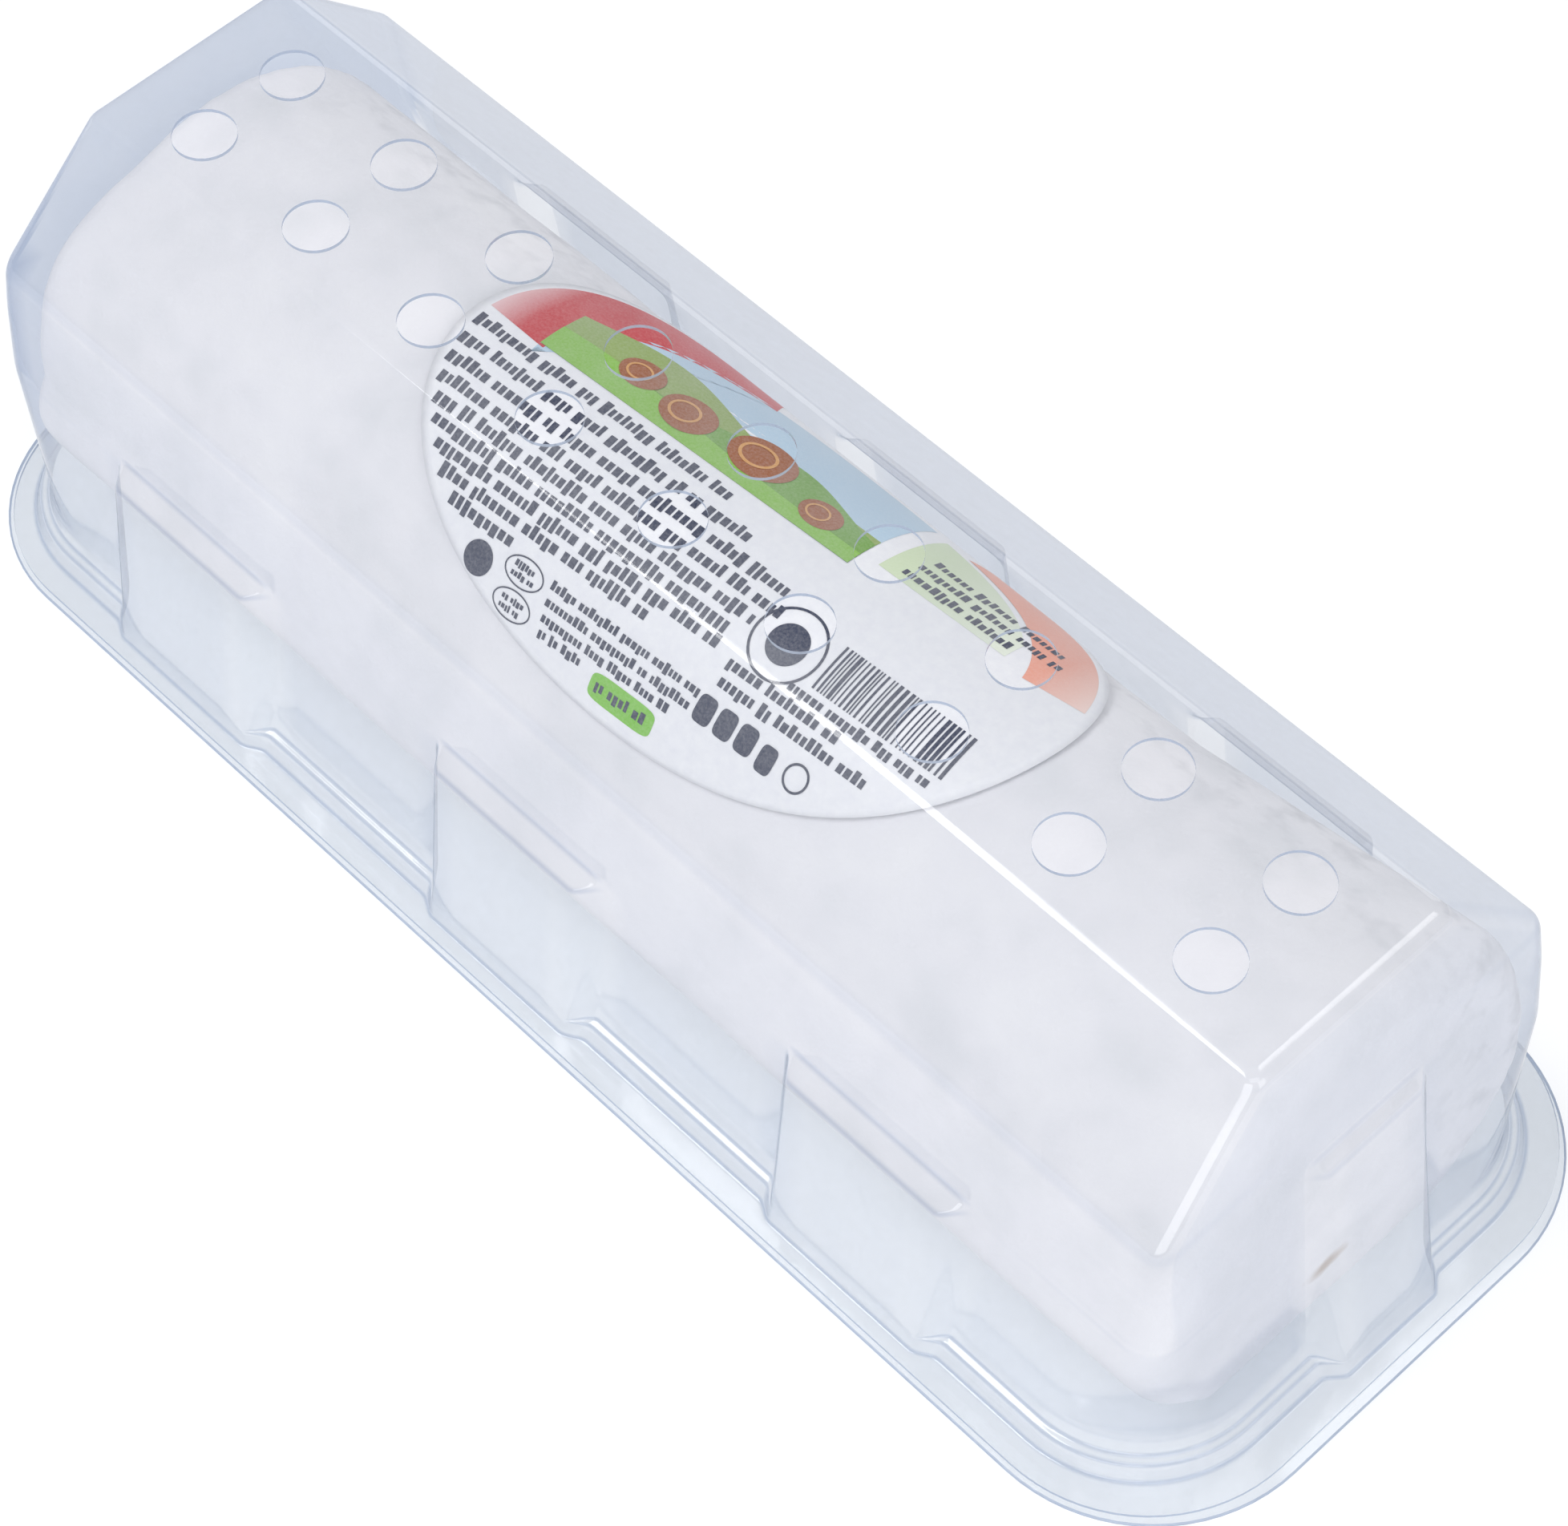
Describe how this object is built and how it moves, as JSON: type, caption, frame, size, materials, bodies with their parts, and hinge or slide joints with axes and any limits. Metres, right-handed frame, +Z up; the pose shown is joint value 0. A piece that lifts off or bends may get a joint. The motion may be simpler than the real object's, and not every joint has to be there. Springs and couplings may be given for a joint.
{
  "type": "goat cheese log in a clear pack",
  "caption": "White goat cheese log with an oval paper sticker, lying in a clear formed pack with ribbed sides, rows of vent holes in its flat top and a flat base sheet.",
  "frame": {"origin": "middle of the underside of the base sheet, where the pack rests", "axes": "+X along the log, +Y to the pack's long side that the log lies nearer to, +Z up"},
  "size_m": [0.2236, 0.0856, 0.0645],
  "materials": {
    "base_plastic": "clear gloss sheet",
    "cover_plastic": "clear gloss formed sheet",
    "rind": "matte white bloomy rind",
    "label_paper": "satin coated paper with printed fields of colour"
  },
  "bodies": {
    "root": {"base_sheet": "base_plastic", "cover": "cover_plastic", "cheese_log": "rind", "label": "label_paper"}
  },
  "joints": []
}
